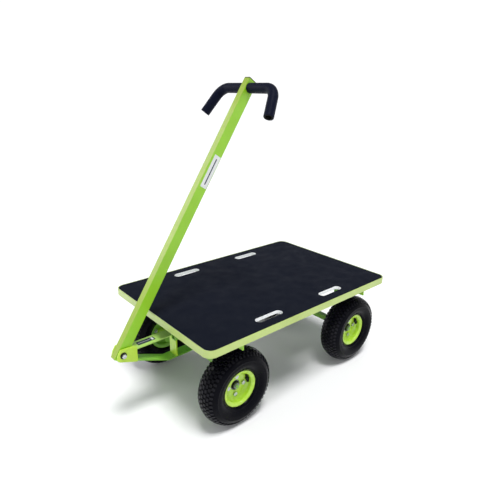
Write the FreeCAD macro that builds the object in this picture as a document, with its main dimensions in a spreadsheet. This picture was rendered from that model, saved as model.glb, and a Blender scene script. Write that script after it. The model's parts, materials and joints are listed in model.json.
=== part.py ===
import FreeCAD, Part
import math
import os
import re
import Sketcher

# Four-wheeled platform trolley with a steering turntable and a tilting drawbar.
# +X points forwards to the drawbar, +Y to the left, +Z up.
# The origin is on the ground, under the middle of the trolley's overall length and width.

SIZES = [
    # deck
    ("deck_length", 850, "outside of the deck hoop, along X"),
    ("deck_width", 570, "outside of the deck hoop, along Y"),
    ("deck_clear", 73, "load face above the top of the tyres"),
    ("deck_mid", -75.35, "X of the deck's middle"),
    ("deck_corner", 30, "outer corner radius of the hoop"),
    ("hoop_height", 24, "height of the flat hoop round the board"),
    ("hoop_wall", 3, "thickness of the hoop"),
    ("board_thick", 12, "film-faced plywood"),
    ("board_gap", 0.5, "clearance between board and hoop"),
    ("slot_length", 110, "lashing slot, end to end"),
    ("slot_width", 28, "lashing slot, across"),
    ("slot_ahead", 150, "slot centre from the deck's middle, along X"),
    ("slot_inset", 52, "slot centre in from the deck's side"),
    # ladder under the deck
    ("rail_width", 20, "long rail tube, across"),
    ("rail_depth", 30, "long rail tube, height"),
    ("rail_wall", 2, "long rail tube, wall"),
    ("rail_aside", 100, "rail centre from the middle plane"),
    ("outrigger_thick", 5, "flat bar on edge from rail to hoop"),
    ("front_outrigger", 18, "outrigger middle ahead of the front axle"),
    ("rear_outrigger", 2.5, "outrigger middle ahead of the rear axle"),
    ("screw_radius", 3, "board screw shank"),
    ("screw_flats", 10, "board screw head across flats"),
    ("screw_head", 4, "board screw head height"),
    ("screw_bite", 8, "board screw length inside the board"),
    ("screw_inset", 40, "outer board screws in from the deck's ends"),
    # axles
    ("front_overhang", 145, "front axle behind the deck's front end"),
    ("rear_overhang", 134, "rear axle ahead of the deck's rear end"),
    ("axle_size", 20, "square axle bar"),
    ("bracket_thick", 6, "rear axle bracket plate"),
    ("bracket_wide", 40, "rear axle bracket plate, along X"),
    ("bracket_aside", 163, "rear axle bracket centre from the middle plane"),
    ("leg_thick", 12, "front drop leg, along Y"),
    ("leg_aside", 162, "front drop leg centre from the middle plane"),
    ("leg_below", 15, "front drop leg below the axle line"),
    # wheels
    ("wheel_radius", 130, "tyre radius on the ground"),
    ("wheel_aside", 222, "wheel centre plane from the middle plane"),
    ("tyre_half", 42.5, "half the tyre's width"),
    ("tread_thick", 8, "tyre crown thickness"),
    ("side_thick", 7, "tyre sidewall thickness"),
    ("rim_radius", 61, "rim flange radius"),
    ("rim_half", 27, "rim lip from the wheel's centre plane"),
    ("seat_radius", 51, "tyre bead seat radius"),
    ("rim_sheet", 2, "pressed rim sheet"),
    ("disc_radius", 41, "flat part of the rim disc"),
    ("bead_gap", 0.3, "clearance between tyre and rim"),
    ("tube_thick", 2, "inner tube wall"),
    ("tube_lift", 1, "inner tube clear of the rim flange, measured from the axis"),
    ("tube_clear", 8, "inner tube clear of the tyre's crown"),
    ("valve_radius", 4, "valve stem radius"),
    ("valve_offset", 7, "valve stem outboard of the centre plane"),
    ("valve_tip", 40, "valve tip from the wheel's axis"),
    ("valve_foot", 34, "length of the valve's rubber foot round the rim"),
    ("foot_inside", 8, "the foot's inner end inside the bead seat"),
    ("foot_gap", 0.3, "clearance between the valve's foot and its slot"),
    ("hub_wall", 2, "bearing tube wall"),
    ("bearing_radius", 17.5, "ball bearing outside"),
    ("bearing_width", 11, "ball bearing width"),
    ("bearing_inset", 1, "outer bearing face inside the centre plane"),
    ("bearing_pitch", 24, "between the wheel's two bearings"),
    ("spindle_radius", 7.5, "turned axle end in the bearings"),
    ("running_gap", 0.05, "radial clearance on a turning shaft"),
    ("bolt_circle", 31, "rim bolt circle radius"),
    ("rim_bolt_radius", 4, "rim bolt shank"),
    ("rim_bolt_flats", 13, "rim bolt across flats"),
    ("rim_bolt_head", 5.3, "rim bolt head height"),
    ("rim_bolt_nut", 6.5, "rim bolt nut height"),
    ("rim_bolt_turn", 17.5, "degrees from the valve to the first rim bolt"),
    ("axle_thread", 6, "axle end thread radius"),
    ("axle_nut_flats", 19, "axle nut across flats"),
    ("axle_nut_height", 8, "axle nut height"),
    ("axle_washer", 12, "axle washer radius"),
    ("axle_washer_thick", 2.5, "axle washer thickness"),
    # turntable
    ("plate_thick", 5, "turntable plates and steering straps"),
    ("top_plate_wide", 230, "upper turntable plate, along Y"),
    ("top_plate_long", 180, "upper turntable plate, along X"),
    ("top_plate_corner", 15, "corner radius of the upper turntable plate"),
    ("stack_height", 30, "upper strap's top up to the upper turntable plate"),
    ("turn_plate", 85, "lower turntable plate radius"),
    ("race_middle", 70, "ball circle radius of the turntable"),
    ("race_half", 12, "half the width of a race ring"),
    ("ball_radius", 6, "turntable ball"),
    ("groove_gap", 0.3, "clearance between ball and groove"),
    ("race_gap", 4, "between the two race rings"),
    ("kingpin_radius", 8, "kingpin bolt shank"),
    ("kingpin_flats", 24, "kingpin across flats"),
    ("kingpin_head", 10, "kingpin head height"),
    ("kingpin_nut", 13, "kingpin nut height"),
    ("kingpin_washer", 15, "kingpin washer radius"),
    ("washer_thick", 3, "kingpin washer thickness"),
    ("thrust_gap", 0.2, "end play of the kingpin"),
    # steering yoke
    ("strap_wide", 40, "yoke flat bar"),
    ("beam_height", 80, "front beam tube, height"),
    ("beam_wide", 40, "front beam tube, along X"),
    ("beam_wall", 3, "front beam tube wall"),
    ("strap_behind", 60, "straps reach behind the kingpin"),
    ("knee_behind", 30, "bend of the lower strap behind the deck's front end"),
    ("nose_below", 41, "lower strap's front end below the upper strap, top to top"),
    ("post_behind", 62, "yoke post behind the deck's front end"),
    ("fork_ahead", 78, "rear face of the fork ahead of the deck's front end"),
    ("fork_inside", 15, "inner face of a fork cheek from the middle plane"),
    ("cheek_thick", 5, "fork cheek plate"),
    ("cheek_reach", 21, "fork cheeks ahead of the drawbar pivot"),
    ("cheek_drop", 20, "fork cheeks below the drawbar pivot"),
    ("cheek_rise", 21, "fork cheeks above the drawbar pivot"),
    ("back_rise", 4, "top of the fork's back plate above the upper strap"),
    ("back_drop", 6, "foot of the fork's back plate below the lower strap's top"),
    ("stop_height", 12, "lower edge of the parking stop above the pivot"),
    ("stop_gap", 0.2, "parked drawbar clear of its stop"),
    ("tag_long", 60, "tag on the upper strap, length"),
    ("tag_wide", 20, "tag on the upper strap, width"),
    ("tag_ahead", 38, "tag centre ahead of the deck's front end"),
    ("tag_thick", 0.5, "thickness of both tags"),
    # drawbar, along its own length from the pivot
    ("pivot_ahead", 46, "drawbar pivot ahead of the fork's rear face"),
    ("pivot_below", 9, "drawbar pivot below the top of the upper strap"),
    ("bar_lean", 33, "degrees the parked drawbar leans back"),
    ("bar_deep", 35, "drawbar tube in the swing plane"),
    ("bar_wide", 25, "drawbar tube across"),
    ("bar_wall", 2, "drawbar tube wall"),
    ("bar_length", 939, "pivot to the top end of the tube"),
    ("bar_tail", 22, "tube below the pivot"),
    ("cap_thick", 2.5, "drawbar end cap"),
    ("cap_corner", 2, "corner radius of the drawbar end cap"),
    ("cap_plug", 12, "cap plug inside the tube"),
    ("pivot_bolt", 5, "pivot bolt shank radius"),
    ("pivot_flats", 13, "pivot bolt across flats"),
    ("pivot_head", 6.4, "pivot bolt head height"),
    ("pivot_nut", 8, "pivot nut height"),
    ("pivot_spare", 2, "pivot bolt thread beyond its nut"),
    ("pivot_washer", 10.5, "pivot washer radius"),
    ("pivot_washer_thick", 2, "pivot washer thickness"),
    ("bush_wall", 3, "pivot bush wall"),
    ("bush_play", 0.2, "end play of the pivot bush, each side"),
    ("hand_up", 913, "handle bar centre up the drawbar"),
    ("hand_radius", 12.5, "handle bar tube radius"),
    ("hand_wall", 2, "handle bar wall"),
    ("hand_knee", 126.5, "corner of the handle bend from the middle plane"),
    ("hand_turn", 72, "degrees that the handle ends bend down"),
    ("hand_leg", 66, "straight end of the handle beyond the bend"),
    ("hand_bend", 48, "handle bend radius"),
    ("grip_thick", 3.4, "foam grip wall"),
    ("grip_gap", 0.1, "clearance between grip and tube"),
    ("label_long", 110, "blank label on the drawbar, length"),
    ("label_wide", 25, "blank label on the drawbar, width"),
    ("label_up", 620, "label centre up the drawbar"),
    ("label_back", 3, "label centre behind the drawbar's axis"),
]

# Places and lengths that follow from the sizes, written as formulas of them.
DERIVED = {
    "deck_nose": "deck_mid + deck_length / 2",
    "deck_tail": "deck_mid - deck_length / 2",
    "deck_top": "2 * wheel_radius + deck_clear",
    "hoop_bottom": "deck_top - hoop_height",
    "board_bottom": "deck_top - board_thick",
    "rail_bottom": "board_bottom - rail_depth",
    "rail_side": "rail_aside + rail_width / 2",
    "slot_aside": "deck_width / 2 - slot_inset",
    "screw_ahead": "deck_length / 2 - screw_inset",
    "kingpin_x": "deck_nose - front_overhang",
    "rear_x": "deck_tail + rear_overhang",
    "shoulder": "wheel_aside - bearing_inset - bearing_width - bearing_pitch",
    "hub_radius": "bearing_radius + hub_wall",
    "tube_inner": "rim_radius + tube_lift",
    "tube_outer": "wheel_radius - tread_thick - tube_clear",
    "tube_middle": "(tube_outer + tube_inner) / 2",
    "tube_radius": "(tube_outer - tube_inner) / 2",
    "top_plate_bottom": "rail_bottom - plate_thick",
    "strap_top": "top_plate_bottom - stack_height",
    "race_height": "(stack_height - plate_thick - race_gap) / 2",
    "beam_foot": "strap_top - plate_thick - beam_height",
    "fork_x": "deck_nose + fork_ahead",
    "pivot_x": "fork_x + pivot_ahead",
    "pivot_height": "strap_top - pivot_below",
    "fork_face": "fork_inside + cheek_thick",
    "bush_radius": "pivot_bolt + running_gap + bush_wall",
    "hand_tangent": "hand_bend * tan(hand_turn * 0.5 deg)",
    "hand_first": "hand_knee - hand_tangent",
    "hand_arc_y": "hand_first + hand_bend * sin(hand_turn * 1 deg)",
    "hand_arc_z": "hand_up - hand_bend * (1 - cos(hand_turn * 1 deg))",
    "hand_end_y": "hand_arc_y + hand_leg * cos(hand_turn * 1 deg)",
    "hand_end_z": "hand_arc_z - hand_leg * sin(hand_turn * 1 deg)",
}

doc = FreeCAD.newDocument("platform_trolley")
sheet = doc.addObject("Spreadsheet::Sheet", "Sizes")
WORD = re.compile(r"[a-z_]+")
ALIASES = set()


def formula(text):
    """Turn names of sizes into references to the sheet."""
    def reference(found):
        word = found.group(0)
        if word in DERIVED:
            return "(" + formula(DERIVED[word]) + ")"
        return "Sizes." + word if word in ALIASES else word
    return WORD.sub(reference, text)


def fill_sheet():
    for row, (name, number, note) in enumerate(SIZES, start=1):
        sheet.set(f"A{row}", name)
        sheet.set(f"B{row}", str(number))
        sheet.setAlias(f"B{row}", name)
        sheet.set(f"C{row}", note)
        ALIASES.add(name)
    doc.recompute()


def value(text):
    result = sheet.evalExpression(formula(text))
    return float(getattr(result, "Value", result))


def bind(item, **properties):
    for name, text in properties.items():
        item.setExpression(name, formula(text))


def rotation(axis, angle):
    return FreeCAD.Rotation(FreeCAD.Vector(*axis), angle)


def place(item, x="0", y="0", z="0", axis=(0, 0, 1), angle=0):
    turn = rotation(axis, angle)
    item.Placement = FreeCAD.Placement(FreeCAD.Vector(value(x), value(y), value(z)), turn)
    for name, text in (("x", x), ("y", y), ("z", z)):
        item.setExpression("Placement.Base." + name, formula(text))
    return item


# ---------------------------------------------------------------- sketches and features

def new_body(label):
    body = doc.addObject("PartDesign::Body", label)
    body.Label = label
    return body


def new_sketch(body, plane, lift="0"):
    sketch = body.newObject("Sketcher::SketchObject", body.Label + "_sketch")
    origin = [f for f in body.Origin.OriginFeatures if f.Role == plane + "_Plane"][0]
    sketch.AttachmentSupport = [(origin, "")]
    sketch.MapMode = "FlatFace"
    sketch.setExpression("AttachmentOffset.Base.z", formula(lift))
    return sketch


def pin(sketch, geometry, point, u, v):
    """Hold a sketch point at the distances u and v from the sketch's origin."""
    for kind, text in (("DistanceX", u), ("DistanceY", v)):
        index = sketch.addConstraint(
            Sketcher.Constraint(kind, -1, 1, geometry, point, value(text)))
        sketch.setExpression(f"Constraints[{index}]", formula(text))


def outline(sketch, corners):
    """Closed outline of straight lines through corners, each a pair of formulas."""
    spots = [FreeCAD.Vector(value(u), value(v), 0) for u, v in corners]
    lines = []
    for start, end in zip(spots, spots[1:] + spots[:1]):
        lines.append(sketch.addGeometry(Part.LineSegment(start, end), False))
    for index, line in enumerate(lines):
        sketch.addConstraint(
            Sketcher.Constraint("Coincident", line, 2, lines[(index + 1) % len(lines)], 1))
    for line, (u, v) in zip(lines, corners):
        pin(sketch, line, 1, u, v)


def rectangle(sketch, width, height, u="0", v="0"):
    half_w, half_h = f"({width}) / 2", f"({height}) / 2"
    outline(sketch, [(f"{u} - {half_w}", f"{v} - {half_h}"), (f"{u} + {half_w}", f"{v} - {half_h}"),
                     (f"{u} + {half_w}", f"{v} + {half_h}"), (f"{u} - {half_w}", f"{v} + {half_h}")])


def circle(sketch, radius, u="0", v="0"):
    centre = FreeCAD.Vector(value(u), value(v), 0)
    ring = sketch.addGeometry(
        Part.Circle(centre, FreeCAD.Vector(0, 0, 1), value(radius)), False)
    pin(sketch, ring, 3, u, v)
    index = sketch.addConstraint(Sketcher.Constraint("Radius", ring, value(radius)))
    sketch.setExpression(f"Constraints[{index}]", formula(radius))


def rounded(sketch, length, width, radius, u="0", v="0"):
    """Rectangle with rounded corners, or a slot where the radius is half the width."""
    quarter = math.pi / 2
    arms = [(1, 1), (-1, 1), (-1, -1), (1, -1)]
    arcs = []
    for turn, (su, sv) in enumerate(arms):
        cu = f"{u} + ({su}) * (({length}) / 2 - ({radius}))"
        cv = f"{v} + ({sv}) * (({width}) / 2 - ({radius}))"
        ring = Part.Circle(FreeCAD.Vector(value(cu), value(cv), 0), FreeCAD.Vector(0, 0, 1),
                           value(radius))
        arcs.append(sketch.addGeometry(
            Part.ArcOfCircle(ring, turn * quarter, (turn + 1) * quarter), False))
        pin(sketch, arcs[-1], 3, cu, cv)
    index = sketch.addConstraint(Sketcher.Constraint("Radius", arcs[0], value(radius)))
    sketch.setExpression(f"Constraints[{index}]", formula(radius))
    for other in arcs[1:]:
        sketch.addConstraint(Sketcher.Constraint("Equal", arcs[0], other))
    for index, arc in enumerate(arcs):
        following = arcs[(index + 1) % 4]
        here = sketch.getPoint(arc, 2)
        there = sketch.getPoint(following, 1)
        line = sketch.addGeometry(Part.LineSegment(here, there), False)
        sketch.addConstraint(Sketcher.Constraint("Tangent", arc, 2, line, 1))
        sketch.addConstraint(Sketcher.Constraint("Tangent", line, 2, following, 1))


def slot(sketch, length, width, u, v):
    """Slot along the sketch's first direction with round ends."""
    reach = f"(({length}) - ({width})) / 2"
    ends = []
    for side, start in ((1, -0.5), (-1, 0.5)):
        cu = f"{u} + ({side}) * {reach}"
        ring = Part.Circle(FreeCAD.Vector(value(cu), value(v), 0), FreeCAD.Vector(0, 0, 1),
                           value(width) / 2)
        ends.append(sketch.addGeometry(
            Part.ArcOfCircle(ring, start * math.pi, (start + 1) * math.pi), False))
        pin(sketch, ends[-1], 3, cu, v)
    index = sketch.addConstraint(Sketcher.Constraint("Radius", ends[0], value(width) / 2))
    sketch.setExpression(f"Constraints[{index}]", formula(f"({width}) / 2"))
    sketch.addConstraint(Sketcher.Constraint("Equal", ends[0], ends[1]))
    for here, there in ((ends[0], ends[1]), (ends[1], ends[0])):
        line = sketch.addGeometry(
            Part.LineSegment(sketch.getPoint(here, 2), sketch.getPoint(there, 1)), False)
        sketch.addConstraint(Sketcher.Constraint("Tangent", here, 2, line, 1))
        sketch.addConstraint(Sketcher.Constraint("Tangent", line, 2, there, 1))


def pad(body, sketch, length, middle=False):
    feature = body.newObject("PartDesign::Pad", body.Label + "_pad")
    feature.Profile = sketch
    feature.Midplane = middle
    bind(feature, Length=length)
    doc.recompute()
    return feature


def cut(body, sketch, both=True):
    """Cut the sketch right through the body, and make sure that it removed something."""
    before = body.Shape.Volume
    feature = body.newObject("PartDesign::Pocket", body.Label + "_cut")
    feature.Profile = sketch
    feature.Type = "ThroughAll"
    feature.Midplane = both
    doc.recompute()
    if body.Shape.Volume >= before - 1e-6:
        raise RuntimeError(body.Label + ": the cut removes nothing")
    return feature


def blind_cut(body, sketch, depth, middle=False):
    """Cut up from the sketch to a depth, or evenly to both sides of it."""
    before = body.Shape.Volume
    feature = body.newObject("PartDesign::Pocket", body.Label + "_cut")
    feature.Profile = sketch
    feature.Midplane = middle
    feature.Reversed = not middle
    bind(feature, Length=depth)
    doc.recompute()
    if body.Shape.Volume >= before - 1e-6:
        raise RuntimeError(body.Label + ": the cut removes nothing")
    return feature


def revolve(body, sketch):
    feature = body.newObject("PartDesign::Revolution", body.Label + "_revolution")
    feature.Profile = sketch
    feature.ReferenceAxis = (sketch, ["V_Axis"])
    feature.Angle = 360
    doc.recompute()
    return feature


def spun(label, corners):
    """Ring turned from one closed outline of (radius, height) about Z."""
    body = new_body(label)
    sketch = new_sketch(body, "XZ")
    outline(sketch, corners)
    revolve(body, sketch)
    return body


# ---------------------------------------------------------------- fasteners

def cylinder(label, radius, height):
    item = doc.addObject("Part::Cylinder", label)
    bind(item, Radius=radius, Height=height)
    return item


def hexagon(label, flats, height):
    item = doc.addObject("Part::Prism", label)
    item.Polygon = 6
    bind(item, Circumradius=f"({flats}) / sqrt(3)", Height=height)
    return item


def joined(label, base, tool):
    item = doc.addObject("Part::Fuse", label)
    item.Base = base
    item.Tool = tool
    return item


def bored(label, base, radius, height):
    """The base with a round hole through it along Z."""
    drill = cylinder(label + "_hole", radius, f"({height}) + 2")
    place(drill, z="-1")
    item = doc.addObject("Part::Cut", label)
    item.Base = base
    item.Tool = drill
    return item


def hex_bolt(label, flats, head, radius, length):
    """Head above z = 0, shank below."""
    shank = place(cylinder(label + "_shank", radius, f"({length}) + 1"), z=f"-({length})")
    return joined(label, hexagon(label + "_head", flats, head), shank)


def hex_nut(label, flats, height, radius):
    return bored(label, hexagon(label + "_body", flats, height), radius, height)


def washer(label, outside, thick, radius):
    return bored(label, cylinder(label + "_body", outside, thick), radius, thick)


def group(label, members):
    """Separate solids kept together as one named piece."""
    item = doc.addObject("Part::Compound", label)
    item.Label = label
    item.Links = members
    return item


def copies(label, source, spots, axis=(0, 0, 1), angle=0):
    """Copies of one solid, each at its own (x, y, z) formulas."""
    made = []
    for number, (x, y, z) in enumerate(spots, start=1):
        one = doc.addObject("Part::Compound", f"{label}_{number}")
        one.Links = [source]
        made.append(place(one, x, y, z, axis, angle))
    return made


# ---------------------------------------------------------------- chassis

def deck_frame():
    body = new_body("deck_frame")
    sketch = new_sketch(body, "XY")
    rounded(sketch, "deck_length", "deck_width", "deck_corner")
    rounded(sketch, "deck_length - 2 * hoop_wall", "deck_width - 2 * hoop_wall",
            "deck_corner - hoop_wall")
    pad(body, sketch, "hoop_height")
    return [place(body, x="deck_mid", z="hoop_bottom")]


def deck_board():
    body = new_body("deck_board")
    inset = "2 * (hoop_wall + board_gap)"
    outer = new_sketch(body, "XY")
    rounded(outer, f"deck_length - {inset}", f"deck_width - {inset}",
            "deck_corner - hoop_wall - board_gap")
    pad(body, outer, "board_thick")
    slots = new_sketch(body, "XY")
    for ahead in (1, -1):
        for aside in (1, -1):
            slot(slots, "slot_length", "slot_width", f"({ahead}) * slot_ahead",
                 f"({aside}) * slot_aside")
    cut(body, slots)
    holes = new_sketch(body, "XY")
    for x, y in screw_spots():
        circle(holes, "screw_radius", x, y)
    blind_cut(body, holes, "screw_bite")
    return [place(body, x="deck_mid", z="board_bottom")]


def screw_spots():
    spots = []
    for ahead in (1, 0, -1):
        for aside in (1, -1):
            spots.append((f"({ahead}) * screw_ahead", f"({aside}) * rail_aside"))
    return spots


def board_screws():
    one = hex_bolt("board_screw", "screw_flats", "screw_head", "screw_radius",
                   "rail_depth + screw_bite")
    spots = [(f"deck_mid + {x}", y, "rail_bottom") for x, y in screw_spots()]
    return [group("board_screws", copies("board_screw", one, spots, (1, 0, 0), 180))]


def rails():
    made = []
    for name, side in (("rail_left", 1), ("rail_right", -1)):
        body = new_body(name)
        sketch = new_sketch(body, "YZ")
        rectangle(sketch, "rail_width", "rail_depth")
        rectangle(sketch, "rail_width - 2 * rail_wall", "rail_depth - 2 * rail_wall")
        pad(body, sketch, "deck_length - 2 * hoop_wall", middle=True)
        holes = new_sketch(body, "XY")
        for ahead in (1, 0, -1):
            circle(holes, "screw_radius", f"({ahead}) * screw_ahead")
        cut(body, holes)
        made.append(place(body, "deck_mid", f"({side}) * rail_aside",
                          "rail_bottom + rail_depth / 2"))
    return made


def outriggers():
    """Flat bars on edge that carry the hoop out from the rails."""
    bar = doc.addObject("Part::Box", "outrigger_bar")
    bind(bar, Length="outrigger_thick", Width="deck_width / 2 - hoop_wall - rail_side",
         Height="rail_depth")
    spots = []
    for middle in ("kingpin_x + front_outrigger", "rear_x + rear_outrigger"):
        x = f"{middle} - outrigger_thick / 2"
        spots.append((x, "rail_side", "rail_bottom"))
        spots.append((x, "hoop_wall - deck_width / 2", "rail_bottom"))
    return [group("outriggers", copies("outrigger", bar, spots))]


def axle_bar(label, length):
    body = new_body(label)
    sketch = new_sketch(body, "XZ")
    rectangle(sketch, "axle_size", "axle_size")
    pad(body, sketch, length, middle=True)
    return body


def add_spindle(body, side, middle):
    """Turned spindle out from the bar's end, and the thread for its nut beyond the bearings.
    middle is the bar's own middle; the sketch plane faces -Y, so a lift to +Y is negative."""
    bar_end = f"shoulder - ({middle})"
    seat_end = f"wheel_aside - bearing_inset - ({middle})"
    tip = f"{seat_end} + axle_washer_thick + axle_nut_height + 2"
    for radius, start, end in (("spindle_radius", bar_end, seat_end),
                               ("axle_thread", seat_end, tip)):
        sketch = new_sketch(body, "XZ", f"({-side}) * ({start})")
        circle(sketch, radius)
        feature = pad(body, sketch, f"({end}) - ({start})")
        feature.Reversed = side > 0
        doc.recompute()


def rear_axle():
    """Square bar with a turned and threaded spindle at each end."""
    body = axle_bar("rear_axle", "2 * shoulder")
    for side in (1, -1):
        add_spindle(body, side, "0")
    return [place(body, x="rear_x", z="wheel_radius")]


def rear_axle_brackets():
    plate = doc.addObject("Part::Box", "bracket_plate")
    bottom = "wheel_radius + axle_size / 2"
    bind(plate, Length="bracket_wide", Width="bracket_thick", Height=f"rail_bottom - ({bottom})")
    spots = [("rear_x - bracket_wide / 2", f"({side}) * bracket_aside - bracket_thick / 2", bottom)
             for side in (1, -1)]
    return [group("rear_axle_brackets", copies("bracket_plate", plate, spots))]


def wheel_nuts(label, x):
    """Washer and nut on both ends of an axle."""
    ring = washer(label + "_washer", "axle_washer", "axle_washer_thick",
                  "axle_thread + running_gap")
    nut = hex_nut(label + "_nut", "axle_nut_flats", "axle_nut_height",
                  "axle_thread + running_gap")
    face = "wheel_aside - bearing_inset"
    members = []
    for side, angle in ((1, -90), (-1, 90)):
        members += copies(f"{label}_washer_{angle}", ring,
                          [(x, f"({side}) * ({face})", "wheel_radius")], (1, 0, 0), angle)
        members += copies(f"{label}_nut_{angle}", nut,
                          [(x, f"({side}) * ({face} + axle_washer_thick)", "wheel_radius")],
                          (1, 0, 0), angle)
    return [group(label, members)]


# ---------------------------------------------------------------- turntable

def turntable_top_plate():
    body = new_body("turntable_top_plate")
    sketch = new_sketch(body, "XY")
    rounded(sketch, "top_plate_long", "top_plate_wide", "top_plate_corner")
    circle(sketch, "kingpin_radius")
    pad(body, sketch, "plate_thick")
    return [place(body, x="kingpin_x", z="top_plate_bottom")]


def race(label, height, groove_at):
    """Flat ring with a ball groove; height and groove_at are above its own lower face."""
    body = spun(label, [("race_middle - race_half", "0"), ("race_middle + race_half", "0"),
                        ("race_middle + race_half", height), ("race_middle - race_half", height)])
    sketch = new_sketch(body, "XZ")
    circle(sketch, "ball_radius + groove_gap", "race_middle", groove_at)
    groove = body.newObject("PartDesign::Groove", label + "_groove")
    groove.Profile = sketch
    groove.ReferenceAxis = (sketch, ["V_Axis"])
    groove.Angle = 360
    before = body.Shape.Volume
    doc.recompute()
    if body.Shape.Volume >= before:
        raise RuntimeError(label + ": the groove misses the ring")
    return body


def turntable_races():
    lower = race("turntable_lower_race", "race_height", "race_height + race_gap / 2")
    upper = race("turntable_upper_race", "race_height", "0 - race_gap / 2")
    return [place(lower, x="kingpin_x", z="strap_top + plate_thick"),
            place(upper, x="kingpin_x", z="top_plate_bottom - race_height")]


def turntable_balls():
    ball = doc.addObject("Part::Sphere", "turntable_ball")
    bind(ball, Radius="ball_radius")
    count = 20
    middle = "strap_top + plate_thick + race_height + race_gap / 2"
    spots = []
    for number in range(count):
        angle = f"({360 * number / count} deg)"
        spots.append((f"kingpin_x + race_middle * cos{angle}", f"race_middle * sin{angle}", middle))
    return [group("turntable_balls", copies("turntable_ball", ball, spots))]


def turntable_lower_plate():
    body = new_body("turntable_lower_plate")
    sketch = new_sketch(body, "XY")
    circle(sketch, "turn_plate")
    circle(sketch, "kingpin_radius + running_gap")
    pad(body, sketch, "plate_thick")
    return [place(body, x="kingpin_x", z="strap_top")]


def kingpin():
    """Bolt down through both plates, with its washer and nut inside the front beam."""
    nut_top = "strap_top - plate_thick - beam_wall - thrust_gap - washer_thick"
    head_face = "top_plate_bottom + plate_thick"
    bolt = hex_bolt("kingpin_bolt", "kingpin_flats", "kingpin_head", "kingpin_radius",
                    f"{head_face} - ({nut_top}) + kingpin_nut + 3")
    ring = washer("kingpin_ring", "kingpin_washer", "washer_thick",
                  "kingpin_radius + running_gap")
    nut = hex_nut("kingpin_hexnut", "kingpin_flats", "kingpin_nut",
                  "kingpin_radius + running_gap")
    place(bolt, "kingpin_x", "0", head_face)
    place(ring, "kingpin_x", "0", nut_top)
    place(nut, "kingpin_x", "0", f"{nut_top} - kingpin_nut")
    return [group("kingpin", [bolt, ring, nut])]


# ---------------------------------------------------------------- steering yoke

def flat_bar(label, corners):
    """Flat bar, bent along the outline of its edge in the XZ plane."""
    body = new_body(label)
    sketch = new_sketch(body, "XZ")
    outline(sketch, corners)
    pad(body, sketch, "strap_wide", middle=True)
    return body


def upper_strap():
    nose = "fork_x - kingpin_x"
    body = flat_bar("upper_strap", [("-strap_behind", "-plate_thick"), (nose, "-plate_thick"),
                                    (nose, "0"), ("-strap_behind", "0")])
    hole = new_sketch(body, "XY")
    circle(hole, "kingpin_radius + running_gap")
    cut(body, hole)
    return [place(body, x="kingpin_x", z="strap_top")]


def lower_strap():
    """Level under the beam and the post, then rising to the fork."""
    nose = "fork_x - kingpin_x"
    knee = "deck_nose - knee_behind - kingpin_x"
    rise = "(strap_top - nose_below - beam_foot)"
    run = "(fork_ahead + knee_behind)"
    slant = f"(sqrt({run}^2 + {rise}^2) / {run})"
    body = flat_bar("lower_strap", [
        ("-strap_behind", "-plate_thick"), (f"{knee} + 1", "-plate_thick"),
        (nose, f"{rise} - plate_thick * {slant}"), (nose, rise), (knee, "0"),
        ("-strap_behind", "0")])
    return [place(body, x="kingpin_x", z="beam_foot")]


def yoke_post():
    post = doc.addObject("Part::Box", "yoke_post")
    bind(post, Length="plate_thick", Width="strap_wide", Height="beam_height")
    return [place(post, "deck_nose - post_behind - plate_thick / 2", "-strap_wide / 2",
                  "beam_foot")]


def front_axle_beam():
    body = new_body("front_axle_beam")
    sketch = new_sketch(body, "XZ")
    rectangle(sketch, "beam_wide", "beam_height")
    rectangle(sketch, "beam_wide - 2 * beam_wall", "beam_height - 2 * beam_wall")
    pad(body, sketch, "2 * leg_aside - leg_thick", middle=True)
    hole = new_sketch(body, "XY")
    circle(hole, "kingpin_radius + running_gap")
    blind_cut(body, hole, "beam_height")
    return [place(body, x="kingpin_x", z="beam_foot + beam_height / 2")]


def drop_legs():
    leg = doc.addObject("Part::Box", "drop_leg_bar")
    foot = "wheel_radius - leg_below"
    bind(leg, Length="beam_wide", Width="leg_thick", Height=f"strap_top - plate_thick - ({foot})")
    spots = [("kingpin_x - beam_wide / 2", f"({side}) * leg_aside - leg_thick / 2", foot)
             for side in (1, -1)]
    return [group("drop_legs", copies("drop_leg", leg, spots))]


def stub_axles():
    made = []
    inner = "leg_aside + leg_thick / 2"
    for name, side in (("stub_axle_left", 1), ("stub_axle_right", -1)):
        middle = f"({inner} + shoulder) / 2"
        body = axle_bar(name, f"shoulder - ({inner})")
        add_spindle(body, side, middle)
        made.append(place(body, "kingpin_x", f"({side}) * ({middle})", "wheel_radius"))
    return [group("stub_axles", made)]


def fork_bracket():
    """Two cheeks on a bent back plate whose top lip is the drawbar's parking stop."""
    back = "-pivot_ahead"
    foot = "pivot_below - nose_below - back_drop"
    lean = "bar_lean * 1 deg"
    rest = f"0 - (bar_deep / 2 + stop_gap) / cos({lean})"
    body = new_body("fork_bracket")
    side = new_sketch(body, "XZ")
    outline(side, [(back, "pivot_below + back_rise"), (back, foot), (f"{back} + 6", foot),
                   ("cheek_reach - 11", "-cheek_drop"), ("cheek_reach - 3", "5 - cheek_drop"),
                   ("cheek_reach", "13 - cheek_drop"), ("cheek_reach - 4", "cheek_rise - 16"),
                   ("cheek_reach / 3", "cheek_rise"), ("cheek_thick - 35", "cheek_rise - 2")])
    pad(body, side, "2 * fork_face", middle=True)
    room = new_sketch(body, "XZ")
    inner = f"{back} + cheek_thick"
    clear = "(2 * cheek_reach)"
    outline(room, [(inner, f"-{clear}"), (clear, f"-{clear}"), (clear, clear),
                   (f"{rest} - {clear} * tan({lean})", clear),
                   (f"{rest} - stop_height * tan({lean})", "stop_height"),
                   (inner, "stop_height / 2")])
    blind_cut(body, room, "2 * fork_inside", middle=True)
    hole = new_sketch(body, "XZ")
    circle(hole, "pivot_bolt + running_gap")
    cut(body, hole)
    return [place(body, x="pivot_x", z="pivot_height")]


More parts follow.
